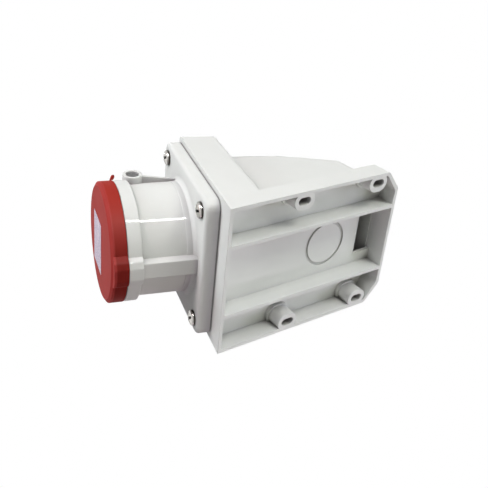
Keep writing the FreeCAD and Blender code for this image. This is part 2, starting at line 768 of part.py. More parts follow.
ridge_barrel = ridge("ridge_barrel", flange_front + " - 1", "collar_start - flange_thick + 1", "0.8",
                     [("key_foot", "(barrel_radius - 1.3)"), ("key_top", "key_on_barrel")])
ridge_collar = ridge("ridge_collar", "collar_start", "mouth_plane - collar_start", "3",
                     [("key_foot_collar", "(collar_radius - 1.6)"),
                      ("key_shoulder", "(key_on_collar - key_shoulder_drop)"), ("key_crown", "key_on_collar")])

# Eye with its web on the right side

eye_disc = rod("eye_disc", "eye_root", "axis_out + eye_out", "eye_place", "eye_radius", "eye_face - eye_root",
               turned=True, along="X")
eye_bore = rod("eye_bore", "eye_face - eye_blind", "axis_out + eye_out", "eye_place", "eye_hole", "eye_blind + 1",
               turned=True, along="X")
web = body("eye_web")
web_sketch = outline(web, "web_outline", "XZ_Plane", [
    ("barrel_radius - 6", flange_front + " - 1"),
    ("web_low", flange_front + " - 1"),
    ("eye_face - 0.9", "eye_place - 2"),
    ("barrel_radius - 6", "eye_place - 2"),
])
web_pad = pad(web, "web_pad", web_sketch, "web_thick", middle=True)
web.Placement = FreeCAD.Placement(TURN.multVec(FreeCAD.Vector(0, value["axis_out"] + value["eye_out"], 0)), TURN)

# Hinge lugs on the collar

hinge_y = "axis_out + hinge_out"
lugs = []
lug_holes = []
for side, x in (("left", "-ear_inner + lug_gap"), ("right", "ear_inner - lug_gap - lug_thick")):
    lugs.append(rod("lug_" + side, x, hinge_y, "hinge_place", "ear_radius", "lug_thick", turned=True, along="X"))
    lugs.append(block("lug_foot_" + side, x, "axis_out + barrel_radius - 5", "hinge_place - ear_radius",
                      "lug_thick", "hinge_out - barrel_radius + 5", "2 * ear_radius", turned=True))
pin_bore = rod("pin_bore", "-40", hinge_y, "hinge_place", "pin_radius + pin_fit", "80", turned=True, along="X")

flange_bore = rod("flange_bore", "0", "axis_out", "-1", "seat_radius", "shoulder + 1", turned=True)
through_bore = rod("through_bore", "0", "axis_out", "-1", "bore_radius", "mouth_plane + 10", turned=True)
keyway = block("keyway", "-key_slot_half", "axis_out - key_slot_top", "shoulder + 6",
               "2 * key_slot_half", "key_slot_top", "mouth_plane", turned=True)
flange_holes = []
for number, x, y in corners_four:
    flange_holes.append(rod("flange_hole_%d" % number, x, y, "-1", "screw_radius + hole_play", "flange_thick + 5",
                            turned=True))
fix_spots = []
for number, angle in enumerate((90.0, 210.0, 330.0), start=1):
    x = "fix_ring * cos(%g)" % angle
    y = "axis_out + fix_ring * sin(%g)" % angle
    fix_spots.append((number, x, y))
fix_bores = [rod("fix_bore_%d" % number, x, y, "shoulder - 1", "fix_radius + screw_fit", "5.6", turned=True)
             for number, x, y in fix_spots]

housing_solid = fuse("housing_solid", [flange_plate, barrel, ridge_barrel, ridge_collar, eye_disc, web]
                     + lugs)
housing_cuts = fuse("housing_cuts", [flange_bore, through_bore, keyway, eye_bore, pin_bore]
                    + flange_holes + fix_bores)
socket_housing = cut("socket_housing", housing_solid, housing_cuts)

# Lid with its bevel, key ridge, ears and hollow

lid_back = "(mouth_plane + lid_gap)"
lid_corner = "(mouth_plane + lid_gap + lid_side)"
lid_front = "(mouth_plane + lid_gap + lid_side + lid_bevel)"
lid_cup = turned_piece("lid_cup", [
    ("0", lid_front + " - lid_wall"),
    ("lid_inner", lid_front + " - lid_wall"),
    ("lid_inner", lid_back),
    ("lid_radius", lid_back),
    ("lid_radius", lid_corner),
    ("lid_face_radius", lid_front),
    ("0", lid_front),
], (
    ("soft", "0.8", ring_edge("lid_radius", lid_corner)),
))
ridge_lid = ridge("ridge_lid", lid_back, "lid_side + 0.4", "3",
                  [("key_foot_lid", "(lid_radius - 1.9)"),
                   ("key_shoulder", "(key_on_lid - key_shoulder_drop)"), ("key_crown", "key_on_lid")])
lid_hollow = rod("lid_hollow", "0", "axis_out", "mouth_plane - 1", "lid_inner", "lid_side + lid_bevel - lid_wall + 1.3",
                 turned=True)
seal_groove = cut("seal_groove",
                  rod("seal_groove_out", "0", "axis_out", "mouth_plane", "seal_outer + 0.05",
                      "seal_thick + seal_gap", turned=True),
                  rod("seal_groove_in", "0", "axis_out", "mouth_plane - 1", "seal_inner - 0.05",
                      "seal_thick + 3", turned=True))
ears = []
for side, x in (("left", "-ear_inner - ear_thick"), ("right", "ear_inner")):
    owner = body("ear_" + side)
    sketch = outline(owner, "ear_outline_" + side, "YZ_Plane", [
        ("24", lid_back),
        ("24", lid_corner + " - 1.5"),
        ("31", lid_corner + " - 1.5"),
        ("hinge_out + ear_radius * sin(62)", "hinge_place + ear_radius * cos(62)"),
        ("hinge_out", "hinge_place"),
        ("hinge_out - ear_radius * sin(62)", "hinge_place - ear_radius * cos(62)"),
        ("hinge_out - ear_radius", lid_back),
    ])
    sketch.AttachmentOffset = FreeCAD.Placement(FreeCAD.Vector(0, 0, worth(x)), FLAT)
    sketch.setExpression("AttachmentOffset.Base.z", bound(x))
    pad(owner, "ear_pad_" + side, sketch, "ear_thick")
    owner.Placement = FreeCAD.Placement(TURN.multVec(FreeCAD.Vector(0, value["axis_out"], 0)), TURN)
    ears.append(owner)
    ears.append(rod("ear_round_" + side, x, hinge_y, "hinge_place", "ear_radius", "ear_thick", turned=True, along="X"))
tab = body("lid_tab")
tab_sketch = outline(tab, "tab_outline", "XZ_Plane", [
    ("tab_across - 5", lid_back),
    ("tab_across - 5", lid_back + " + 1.1"),
    ("tab_across - 3", lid_back + " + 0.7"),
    ("tab_across - 0.6", lid_back + " - 0.2"),
    ("tab_across", lid_back + " - 0.9"),
    ("tab_across - 0.2", lid_back + " - 2"),
    ("tab_across - 1.5", lid_back + " - 1.8"),
    ("tab_across - 2.8", lid_back + " - 1"),
    ("tab_across - 2.8", lid_back),
])
pad(tab, "tab_pad", tab_sketch, "tab_thick", middle=True)
tab.Placement = FreeCAD.Placement(TURN.multVec(FreeCAD.Vector(0, value["axis_out"] + value["tab_out"], 0)), TURN)
lid_solid = fuse("lid_solid", [lid_cup, ridge_lid, tab] + ears)
pin_bore_lid = rod("pin_bore_lid", "-40", hinge_y, "hinge_place", "pin_radius + pin_fit", "80", turned=True, along="X")
lid = cut("lid", lid_solid, fuse("lid_cuts", [lid_hollow, seal_groove, pin_bore_lid]))

lid_seal = cut("lid_seal",
               rod("seal_out", "0", "axis_out", "mouth_plane + seal_gap", "seal_outer", "seal_thick", turned=True),
               rod("seal_in", "0", "axis_out", "mouth_plane - 1", "seal_inner", "seal_thick + 3", turned=True))
lid_label = block("lid_label", "label_across - label_wide / 2", "axis_out + label_out - label_tall / 2", lid_front,
                  "label_wide", "label_tall", "label_thick", turned=True)

# Hinge pin and its spring

hinge_pin = rod("hinge_pin", "-ear_inner - ear_thick", hinge_y, "hinge_place", "pin_radius",
                "2 * ear_inner + 2 * ear_thick", turned=True, along="X")

helix = doc.addObject("Part::Helix", "coil_line")
drive(helix, "Pitch", "coil_pitch")
drive(helix, "Height", "coil_pitch * coil_turns")
drive(helix, "Radius", "coil_radius")
doc.recompute()
wire = Part.Wire(helix.Shape.Edges)
first = wire.Edges[0].valueAt(wire.Edges[0].FirstParameter)
ring_profile = Part.Wire(Part.makeCircle(value["wire_radius"], first, FreeCAD.Vector(0, 1, 0)))
coil = wire.makePipeShell([ring_profile], True, True)
span = value["coil_pitch"] * value["coil_turns"]
radius = value["coil_radius"]
near_leg = Part.makeCylinder(value["wire_radius"], value["leg_long"], FreeCAD.Vector(radius, 0, 0),
                             FreeCAD.Vector(0, -1, 0))
far_leg = Part.makeCylinder(value["wire_radius"], value["leg_long"], FreeCAD.Vector(radius, 0, span),
                            FreeCAD.Vector(0, 1, 0))
spring_shape = coil.fuse([near_leg, far_leg])
lid_spring = doc.addObject("Part::Feature", "lid_spring")
lid_spring.Shape = spring_shape

# Contact carrier with its five sleeve bores

carrier_turn = turned_piece("carrier_turn", [
    ("0", "shoulder - disc_thick"),
    ("disc_radius", "shoulder - disc_thick"),
    ("disc_radius", "shoulder"),
    ("core_radius", "shoulder"),
    ("core_radius", "core_front"),
    ("0", "core_front"),
], (
    ("edge", "core_edge", ring_edge("core_radius", "core_front")),
))

POLES = [("earth_sleeve", 270.0, "earth"), ("contact_sleeve_l1", 342.0, "phase"), ("contact_sleeve_l2", 54.0, "phase"),
         ("contact_sleeve_l3", 126.0, "phase"), ("contact_sleeve_n", 198.0, "phase")]

carrier_cuts = []
retainer_cuts = []
for number, (name, angle, kind) in enumerate(POLES, start=1):
    x = "contact_ring * cos(%g)" % angle
    y = "axis_out + contact_ring * sin(%g)" % angle
    outer = kind + "_outer"
    bore = kind + "_bore"
    tag = "_%d" % number
    carrier_cuts.append(rod("sleeve_room" + tag, x, y, "-2", outer + " + sleeve_fit", "core_front - face_thick + 2",
                            turned=True))
    carrier_cuts.append(rod("sleeve_mouth" + tag, x, y, "core_front - face_thick - 1", bore + " + hole_play",
                            "face_thick + 3", turned=True))
    carrier_cuts.append(rod("rim_room" + tag, x, y, "-2", outer + " + sleeve_rim + sleeve_fit",
                            "shoulder - disc_thick + rim_thick + 2.02", turned=True))
    retainer_cuts.append(rod("retainer_hole" + tag, x, y, "-10", outer + " + hole_play", "20", turned=True))
for number, x, y in fix_spots:
    carrier_cuts.append(rod("carrier_fix_%d" % number, x, y, "-2", "fix_radius + hole_play", "12", turned=True))
    retainer_cuts.append(rod("retainer_fix_%d" % number, x, y, "-10", "fix_radius + hole_play", "20", turned=True))
contact_carrier = cut("contact_carrier", carrier_turn, fuse("carrier_cuts", carrier_cuts))

retainer_disc = rod("retainer_disc", "0", "axis_out", "shoulder - disc_thick - retainer_thick", "disc_radius",
                    "retainer_thick", turned=True)
contact_retainer = cut("contact_retainer", retainer_disc, fuse("retainer_cuts", retainer_cuts))

# Sleeves with slit fronts and screw terminals behind

sleeves = []
clamps = []
for number, (name, angle, kind) in enumerate(POLES, start=1):
    x = "contact_ring * cos(%g)" % angle
    y = "axis_out + contact_ring * sin(%g)" % angle
    outer = kind + "_outer"
    bore = kind + "_bore"
    tag = "_%d" % number
    stock = fuse("sleeve_stock" + tag, [
        rod("sleeve_tube" + tag, x, y, "-sleeve_back", outer, "core_front - face_thick + sleeve_back", turned=True),
        rod("sleeve_rim" + tag, x, y, "shoulder - disc_thick", outer + " + sleeve_rim", "rim_thick", turned=True),
    ])
    front_bore = rod("front_bore" + tag, x, y, "sleeve_floor", bore, "core_front", turned=True)
    slit = block("slit" + tag, x + " - sleeve_slit / 2", y + " - 2 * " + outer, "slit_start",
                 "sleeve_slit", "4 * " + outer, "core_front", turned=True)
    wire_bore = rod("wire_bore" + tag, x, y, "-sleeve_back - 1", "wire_hole", "wire_deep + 1", turned=True)
    out = FreeCAD.Vector(math.cos(math.radians(angle)), math.sin(math.radians(angle)), 0)
    centre = FreeCAD.Vector(worth(x), worth(y), value["clamp_place"])
    facing = TURN.multiply(FreeCAD.Rotation(AZ, out))

    def radial(label, gap, radius_text, tall_text):
        obj = doc.addObject("Part::Cylinder", label)
        drive(obj, "Radius", radius_text)
        drive(obj, "Height", tall_text)
        obj.Placement = FreeCAD.Placement(TURN.multVec(centre + out * gap), facing)
        return obj

    clamp_bore = radial("clamp_bore" + tag, 0.0, "clamp_radius + screw_fit", "9")
    sleeve = cut(name, stock, fuse("sleeve_cuts" + tag, [front_bore, slit, wire_bore, clamp_bore]))
    sleeves.append(sleeve)
    size = value[outer]
    shank = radial("clamp_shank" + tag, 0.4, "clamp_radius", "%s + 0.2" % outer)
    head = radial("clamp_cap" + tag, size + 0.3, "clamp_head", "clamp_tall")
    nick = doc.addObject("Part::Box", "clamp_nick" + tag)
    drive(nick, "Length", "2 * clamp_head + 1")
    nick.Width = 0.8
    nick.Height = 2.0
    start_at = centre + out * (size + 0.3 + value["clamp_tall"] - 1.0)
    side_way = facing.multVec(AX) * (-value["clamp_head"] - 0.5)
    other_way = facing.multVec(AY) * -0.4
    nick.Placement = FreeCAD.Placement(TURN.multVec(start_at) + side_way + other_way, facing)
    names = {"earth_sleeve": "terminal_screw_earth"}
    clamp_name = names.get(name, name.replace("contact_sleeve", "terminal_screw"))
    clamps.append(cut(clamp_name, fuse("clamp_stock" + tag, [shank, head]), nick))

# Screws of the carrier and of the flange


def cross(name, x, y, top, reach, deep):
    """Cross recess of a screw head."""
    arms = [
        block(name + "_a", "%s - %g" % (x, reach), "%s - 0.45" % y, "%s - %g" % (top, deep), "%g" % (2 * reach), "0.9",
              "%g" % (deep + 1), turned=True),
        block(name + "_b", "%s - 0.45" % x, "%s - %g" % (y, reach), "%s - %g" % (top, deep), "0.9", "%g" % (2 * reach),
              "%g" % (deep + 1), turned=True),
    ]
    return fuse(name, arms)


fixers = []
for number, x, y in fix_spots:
    seat = "(shoulder - disc_thick - retainer_thick)"
    stock = fuse("fix_stock_%d" % number, [
        rod("fix_shank_%d" % number, x, y, seat, "fix_radius", "fix_long", turned=True),
        rod("fix_cap_%d" % number, x, y, seat + " - fix_tall", "fix_head", "fix_tall", turned=True),
    ])
    slot_cut = block("fix_nick_%d" % number, x + " - 3", y + " - 0.35", seat + " - fix_tall - 1", "6", "0.7", "1.9",
                     turned=True)
    fixers.append(cut("carrier_screw_%d" % number, stock, slot_cut))

flange_screws = []
for number, x, y in corners_four:
    seat = flange_front
    owner = body("screw_turn_%d" % number)
    sketch = outline(owner, "screw_outline_%d" % number, "XZ_Plane", [
        ("0", seat + " - screw_length"),
        ("screw_radius * 0.4", seat + " - screw_length"),
        ("screw_radius", seat + " - screw_length + 2"),
        ("screw_radius", seat),
        ("head_radius", seat),
        ("head_radius", seat + " + head_tall * 0.45"),
        ("head_radius * 0.72", seat + " + head_tall * 0.9"),
        ("head_radius * 0.5", seat + " + head_tall"),
        ("0", seat + " + head_tall"),
    ])
    revolve(owner, "screw_revolve_%d" % number, sketch, "Z_Axis")
    owner.Placement = FreeCAD.Placement(TURN.multVec(FreeCAD.Vector(worth(x), worth(y), 0)), TURN)
    recess = cross("screw_cross_%d" % number, x, y, seat + " + head_tall", 2.4, 1.7)
    flange_screws.append(cut("flange_screw_%d" % number, owner, recess))

doc.recompute()

# Set the spring on the pin, one leg over the lid and one over the collar

lay = FreeCAD.Rotation(FreeCAD.Vector(0, -1, 0), FreeCAD.Vector(0, 0, -1), FreeCAD.Vector(1, 0, 0), "ZXY")
tip = TURN.multVec(FreeCAD.Vector(-span / 2.0, value["axis_out"] + value["hinge_out"], value["hinge_place"]))
lid_spring.Placement = FreeCAD.Placement(tip, TURN.multiply(lay))
doc.recompute()

NODES = [wall_box, flange_gasket, socket_housing, lid, lid_seal, lid_label, hinge_pin, lid_spring, contact_carrier,
         contact_retainer] + sleeves + clamps + fixers + flange_screws

# The origin lies on the rim, in the wall plane

step = FreeCAD.Placement(FreeCAD.Vector(0, 0, -value["origin_step"]), FLAT)
for obj in NODES:
    obj.Placement = step.multiply(obj.Placement)
doc.recompute()

faults = 0
for obj in doc.Objects:
    for word in ("Invalid", "Error"):
        if word in obj.State:
            print("fault", obj.Name, obj.State)
            faults += 1
for obj in NODES:
    obj.Label = obj.Name
    shape = obj.Shape
    if shape.isNull() or not shape.isValid():
        print("bad shape", obj.Name)
        faults += 1
    box = shape.BoundBox
    print("%-24s solids %d volume %9.1f  x %.1f..%.1f y %.1f..%.1f z %.1f..%.1f" % (
        obj.Name, len(shape.Solids), shape.Volume, box.XMin, box.XMax, box.YMin, box.YMax, box.ZMin, box.ZMax))
if faults:
    raise RuntimeError("%d faults" % faults)
for obj in NODES:
    obj.Shape.exportStep("parts/%s.step" % obj.Name)
print("written", len(NODES))
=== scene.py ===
import json
import math
import bpy
import numpy as np
from mathutils import Matrix, Vector


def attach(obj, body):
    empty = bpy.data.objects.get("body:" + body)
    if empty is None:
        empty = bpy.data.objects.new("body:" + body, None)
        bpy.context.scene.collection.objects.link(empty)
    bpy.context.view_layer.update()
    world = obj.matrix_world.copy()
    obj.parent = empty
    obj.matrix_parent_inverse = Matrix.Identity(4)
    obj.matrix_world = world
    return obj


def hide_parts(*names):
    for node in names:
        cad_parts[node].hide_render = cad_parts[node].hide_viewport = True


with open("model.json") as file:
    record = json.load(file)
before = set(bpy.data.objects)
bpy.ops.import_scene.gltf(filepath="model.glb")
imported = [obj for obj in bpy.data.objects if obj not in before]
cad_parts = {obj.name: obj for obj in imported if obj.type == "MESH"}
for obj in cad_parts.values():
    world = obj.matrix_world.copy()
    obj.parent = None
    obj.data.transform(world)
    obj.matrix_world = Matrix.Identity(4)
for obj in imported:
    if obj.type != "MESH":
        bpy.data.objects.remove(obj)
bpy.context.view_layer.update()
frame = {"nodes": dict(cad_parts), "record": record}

nodes = frame["nodes"]

# Places shared with the solids, in metres; pairs are where a change starts and ends
LEAN = math.radians(15.9)
STEP = 0.0012
AXIS_OUT = 0.0633
SCREW_PLACE = 0.0388
FLANGE_FRONT = 0.0094
BARREL_RADIUS = 0.0359
EYE_FACE = 0.0384
EYE_OUT = 0.0170
EYE_ALONG = 0.0387
LID_FACE = (0.0604, 0.0612)
LID_REACH = (0.0390, 0.0405)
KNOCK_OUT = (0.0, -0.0129, 0.0888)
KNOCK_OUT_GROOVE = (0.0145, 0.0165)
ACROSS = np.array([1.0, 0.0, 0.0])
OUT = np.array([0.0, -math.cos(LEAN), math.sin(LEAN)])
MOUTH = np.array([0.0, -math.sin(LEAN), -math.cos(LEAN)])


def head(x, v, s):
    """Point of the tilted head: across, out from the wall, along the barrel; arrays or numbers."""
    x, v, s = np.broadcast_arrays(x, v, s)
    place = x[..., None] * ACROSS + v[..., None] * OUT + s[..., None] * MOUTH
    return place - np.array([0.0, 0.0, STEP])


# Surfaces

def surface(name, points, wrap_u=False, wrap_v=False, cap_first=False, cap_last=False):
    """Mesh from a grid of points (u, v, xyz): neighbours make a face; u or v may close on itself,
    and the first or last u row may close to one point at its middle."""
    nu, nv = points.shape[:2]
    verts = points.reshape(-1, 3)
    iu = np.arange(nu if wrap_u else nu - 1)
    iv = np.arange(nv if wrap_v else nv - 1)
    a, b = np.meshgrid(iu, iv, indexing="ij")
    c, d = (a + 1) % nu, (b + 1) % nv
    quads = np.stack([a * nv + b, c * nv + b, c * nv + d, a * nv + d], axis=-1).reshape(-1, 4).tolist()
    fans = []
    for wanted, row, flip in ((cap_first, 0, True), (cap_last, nu - 1, False)):
        if wanted:
            middle = len(verts)
            verts = np.vstack([verts, points[row].mean(axis=0)])
            ring = row * nv + np.arange(nv)
            after = row * nv + (np.arange(nv) + 1) % nv
            order = (after, ring) if flip else (ring, after)
            fans += np.stack([order[0], order[1], np.full(nv, middle)], axis=-1).tolist()
    mesh = bpy.data.meshes.new(name)
    mesh.from_pydata(verts.tolist(), [], quads + fans)
    mesh.polygons.foreach_set("use_smooth", np.ones(len(mesh.polygons), dtype=bool))
    mesh.update()
    piece = bpy.data.objects.new(name, mesh)
    bpy.context.scene.collection.objects.link(piece)
    return piece


# Materials

MOULD_GRAIN = 2600.0
MOULD_GRAIN_DEEP = 0.00002
METAL_GRAIN = 1500.0


def new_material(name):
    """Empty node material with one shader, and the place on the object that its patterns read."""
    mat = bpy.data.materials.new(name)
    mat.use_nodes = True
    tree = mat.node_tree
    tree.nodes.clear()
    out = tree.nodes.new("ShaderNodeOutputMaterial")
    shader = tree.nodes.new("ShaderNodeBsdfPrincipled")
    tree.links.new(shader.outputs[0], out.inputs[0])
    place = tree.nodes.new("ShaderNodeTexCoord")
    return mat, tree, shader, place.outputs["Object"]


def noise(tree, where, scale, detail=2.0, rough=0.5):
    """Soft noise from 0 to 1, scale in features per metre."""
    node = tree.nodes.new("ShaderNodeTexNoise")
    node.inputs["Scale"].default_value = scale
    node.inputs["Detail"].default_value = detail
    node.inputs["Roughness"].default_value = rough
    tree.links.new(where, node.inputs["Vector"])
    return node.outputs["Fac"]


def steps(tree, value, stops):
    """Colour band over a value: stops are (place, colour)."""
    node = tree.nodes.new("ShaderNodeValToRGB")
    ramp = node.color_ramp
    while len(ramp.elements) < len(stops):
        ramp.elements.new(0.5)
    for element, (at, colour) in zip(ramp.elements, stops):
        element.position = at
        element.color = (*colour, 1.0)
    tree.links.new(value, node.inputs[0])
    return node.outputs[0]


def between(tree, value, low, high, first=0.0, last=1.0):
    """Straight change from first to last while the value goes from low to high, held outside them."""
    node = tree.nodes.new("ShaderNodeMapRange")
    node.inputs["From Min"].default_value = low
    node.inputs["From Max"].default_value = high
    node.inputs["To Min"].default_value = first
    node.inputs["To Max"].default_value = last
    tree.links.new(value, node.inputs[0])
    return node.outputs[0]


def rescale(tree, value, low, high):
    """A value from 0..1 moved to low..high."""
    return between(tree, value, 0.0, 1.0, low, high)


def relief(tree, shader, height, depth, edge=0.0):
    """Bump of a height field in metres, over edges rounded by a radius in metres."""
    bump = tree.nodes.new("ShaderNodeBump")
    bump.inputs["Distance"].default_value = depth
    tree.links.new(height, bump.inputs["Height"])
    if edge:
        bevel = tree.nodes.new("ShaderNodeBevel")
        bevel.samples = 6
        bevel.inputs["Radius"].default_value = edge
        tree.links.new(bevel.outputs[0], bump.inputs["Normal"])
        tree.links.new(bevel.outputs[0], shader.inputs["Coat Normal"])
    tree.links.new(bump.outputs[0], shader.inputs["Normal"])


def hollows(tree, reach):
    """Openness of a point: 1 in the open, towards 0 deep in a corner, felt over a reach in metres."""
    node = tree.nodes.new("ShaderNodeAmbientOcclusion")
    node.samples = 8
    node.inputs["Distance"].default_value = reach
    return node.outputs["AO"]


def inside(tree, where, centre, radius):
    """1 inside a ball, 0 outside it, over a soft edge."""
    node = tree.nodes.new("ShaderNodeVectorMath")
    node.operation = "DISTANCE"
    tree.links.new(where, node.inputs[0])
    node.inputs[1].default_value = centre
    return between(tree, node.outputs["Value"], radius - 0.0002, radius + 0.0002, 1.0, 0.0)


def larger(tree, first, second):
    """The larger of two values."""
    node = tree.nodes.new("ShaderNodeMath")
    node.operation = "MAXIMUM"
    tree.links.new(first, node.inputs[0])
    tree.links.new(second, node.inputs[1])
    return node.outputs[0]


def moulded(name, colour, drift, roughness, coat=0.0, coat_roughness=0.1, edge=0.0004, specular=0.5,
            crease_shade=None, reach=0.01, open_at=0.6, groove_shade=None):
    """Moulded plastic: base colour with slow cloudy drift, fine eroded grain, slightly uneven gloss, and
    painted shade that darkens corners and slots by their openness. A groove shade is a ring of (centre, inner
    radius, outer radius, colour): a flat painted shade in a groove, in place of that darkening."""
    mat, tree, shader, where = new_material(name)
    cloud = noise(tree, where, 38.0, 3.0, 0.55)
    low = tuple(c * (1.0 - drift) for c in colour)
    high = tuple(min(1.0, c * (1.0 + drift)) for c in colour)
    tone = steps(tree, cloud, [(0.3, low), (0.7, high)])
    # Painted shade: corners, slots and hollows darkened towards the crease shade colour by ambient occlusion
    if crease_shade:
        tone = mixed(tree, between(tree, hollows(tree, reach), 0.1, open_at), crease_shade, tone)
    # Painted shade in the knock-out ring's groove: an annulus of flat darker grey, in place of the occlusion
    # shade
    if groove_shade:
        centre, inner, outer, grey = groove_shade
        ring = mixed(tree, inside(tree, where, centre, outer), tone, grey)
        tone = mixed(tree, inside(tree, where, centre, inner), ring, tone)
    tree.links.new(tone, shader.inputs["Base Color"])
    fine = noise(tree, where, MOULD_GRAIN, 2.0, 0.6)
    tree.links.new(rescale(tree, noise(tree, where, 90.0, 3.0), roughness - 0.05, roughness + 0.05),
                   shader.inputs["Roughness"])
    shader.inputs["Specular IOR Level"].default_value = specular
    shader.inputs["Coat Weight"].default_value = coat
    shader.inputs["Coat Roughness"].default_value = coat_roughness
    relief(tree, shader, fine, MOULD_GRAIN_DEEP, edge)
    return mat


def metal(name, colour, roughness, depth=0.00001, edge=0.0, stain=None):
    """Turned or plated metal: fine lathe-like grain, cloudy gloss, and stains in patches."""
    mat, tree, shader, where = new_material(name)
    shader.inputs["Metallic"].default_value = 1.0
    patch = noise(tree, where, 420.0, 4.0, 0.6)
    dull = stain or tuple(c * 0.8 for c in colour)
    tree.links.new(steps(tree, patch, [(0.35, dull), (0.62, colour)]), shader.inputs["Base Color"])
    tree.links.new(rescale(tree, noise(tree, where, 700.0, 3.0), roughness * 0.7, roughness * 1.4),
                   shader.inputs["Roughness"])
    relief(tree, shader, noise(tree, where, METAL_GRAIN, 3.0, 0.65), depth, edge)
    return mat


def rubber(name, colour):
    """Closed-cell rubber: dull, with fine pores."""
    mat, tree, shader, where = new_material(name)
    pores = tree.nodes.new("ShaderNodeTexVoronoi")
    pores.inputs["Scale"].default_value = 1800.0
    tree.links.new(where, pores.inputs["Vector"])
    dark = tuple(c * 0.6 for c in colour)
    tree.links.new(steps(tree, pores.outputs["Distance"], [(0.0, dark), (0.6, colour)]),
                   shader.inputs["Base Color"])
    shader.inputs["Roughness"].default_value = 0.8
    relief(tree, shader, pores.outputs["Distance"], 0.00005)
    return mat


def along_axis(tree, where):
    """Place along the barrel, in metres, of a point of the object."""
    node = tree.nodes.new("ShaderNodeVectorMath")
    node.operation = "DOT_PRODUCT"
    tree.links.new(where, node.inputs[0])
    node.inputs[1].default_value = tuple(MOUTH)
    return node.outputs["Value"]


def across_axis(tree, where):
    """Place across the object, in metres, of a point of the object."""
    node = tree.nodes.new("ShaderNodeSeparateXYZ")
    tree.links.new(where, node.inputs[0])
    return node.outputs["X"]


def mixed(tree, share, first, second):
    """Colour mix: 0 gives the first, 1 the second; each a colour or a socket."""
    node = tree.nodes.new("ShaderNodeMix")
    node.data_type = "RGBA"
    tree.links.new(share, node.inputs[0])
    for socket, colour in ((node.inputs[6], first), (node.inputs[7], second)):
        if isinstance(colour, tuple):
            socket.default_value = (*colour, 1.0)
        else:
            tree.links.new(colour, socket)
    return node.outputs[2]


def red_lid(name):
    """Red moulding: the flat face is painted paler and pinker than the rim as a painted reflection; the rim
    is painted darker towards low X and the tab darkest, as painted shade.
    """
    mat, tree, shader, where = new_material(name)
    face = between(tree, along_axis(tree, where), *LID_FACE)
    # Painted shade: the rim darkens from its lit top towards low X
    painted_side_shade = between(tree, across_axis(tree, where), 0.031, 0.004)
    rim = mixed(tree, painted_side_shade, (0.37, 0.034, 0.024), (0.21, 0.016, 0.012))
    # Painted shade: the tab is near black-red
    tab_shade = between(tree, across_axis(tree, where), *LID_REACH)
    rim = mixed(tree, tab_shade, rim, (0.07, 0.012, 0.016))
    cloud = noise(tree, where, 45.0, 3.0, 0.55)
    # Painted reflection: the face is paler and pinker, standing in for its sheen, with random cloudy drift
    face_sheen = steps(tree, cloud, [(0.3, (0.385, 0.045, 0.040)), (0.7, (0.425, 0.053, 0.047))])
    tree.links.new(mixed(tree, face, rim, face_sheen), shader.inputs["Base Color"])
    tree.links.new(rescale(tree, noise(tree, where, 90.0, 3.0), 0.5, 0.62), shader.inputs["Roughness"])
    shader.inputs["Specular IOR Level"].default_value = 0.03
    relief(tree, shader, noise(tree, where, MOULD_GRAIN, 2.0, 0.6), MOULD_GRAIN_DEEP, 0.0004)
    return mat


def film(name, clean, dull):
    """Bare sticker film: satin, with fine cloudy rubbing and specks, and faint crinkles."""
    mat, tree, shader, where = new_material(name)
    rubbed = steps(tree, noise(tree, where, 1100.0, 4.0, 0.7), [(0.44, dull), (0.56, clean)])
    patch = between(tree, noise(tree, where, 160.0, 3.0), 0.3, 0.5)
    tree.links.new(mixed(tree, patch, clean, rubbed), shader.inputs["Base Color"])
    tree.links.new(rescale(tree, noise(tree, where, 420.0, 3.0), 0.42, 0.6), shader.inputs["Roughness"])
    shader.inputs["Specular IOR Level"].default_value = 0.2
    relief(tree, shader, noise(tree, where, 500.0, 3.0, 0.6), 0.00003)
    return mat


GREY = (0.80, 0.805, 0.79)
# Crease shade colours are painted shade: purple-brown over a long reach on the housing, which also shades the
# flange round the barrel's root, and dark grey in the box's slots and corners
housing_grey = moulded("housing_grey", GREY, 0.012, 0.42, coat=0.09, coat_roughness=0.075, specular=0.0,
                       crease_shade=(0.36, 0.335, 0.345), reach=0.021, open_at=0.8)
# The box's groove grey is a flat painted shade in the knock-out ring's groove
box_grey = moulded("box_grey", GREY, 0.012, 0.46, coat=0.14, coat_roughness=0.09, specular=0.03,
                   crease_shade=(0.22, 0.215, 0.205), reach=0.014, open_at=0.6,
                   groove_shade=(KNOCK_OUT, *KNOCK_OUT_GROOVE, (0.64, 0.64, 0.63)))
lid_red = red_lid("lid_red")
carrier_black = moulded("carrier_black", (0.03, 0.03, 0.032), 0.1, 0.5, edge=0.0003)
retainer_black = moulded("retainer_black", (0.036, 0.036, 0.036), 0.1, 0.55, edge=0.0003)
label_film = film("label_film", (0.84, 0.72, 0.80), (0.48, 0.40, 0.56))
brass = metal("brass", (0.72, 0.50, 0.22), 0.26, stain=(0.55, 0.36, 0.16))
zinc = metal("zinc", (0.62, 0.61, 0.58), 0.34)
stainless = metal("stainless", (0.66, 0.65, 0.63), 0.2, depth=0.000004, edge=0.00012)
spring_wire = metal("spring_wire", (0.6, 0.6, 0.6), 0.28)
gasket_rubber = rubber("gasket_rubber", (0.34, 0.34, 0.33))
# Painted shade: the eye plug's near-black grey stands in for the shade inside the eye's hole
hole_shade_grey = moulded("hole_shade_grey", (0.17, 0.17, 0.17), 0.15, 0.5, edge=0.0001, specular=0.1)
seal_rubber = rubber("seal_rubber", (0.05, 0.05, 0.055))

FINISH = {"housing_grey": housing_grey, "box_grey": box_grey, "lid_red": lid_red,
          "carrier_black": carrier_black, "retainer_black": retainer_black, "label_white": label_film,
          "sleeve_brass": brass, "terminal_steel": zinc, "carrier_screw_steel": zinc,
          "screw_steel": stainless, "pin_steel": stainless, "spring_steel": spring_wire,
          "gasket_rubber": gasket_rubber, "seal_rubber": seal_rubber}

for part in frame["record"]["subparts"]:
    mesh = nodes[part["node"]].data
    mesh.materials.clear()
    mesh.materials.append(FINISH[part["material_slot"]])


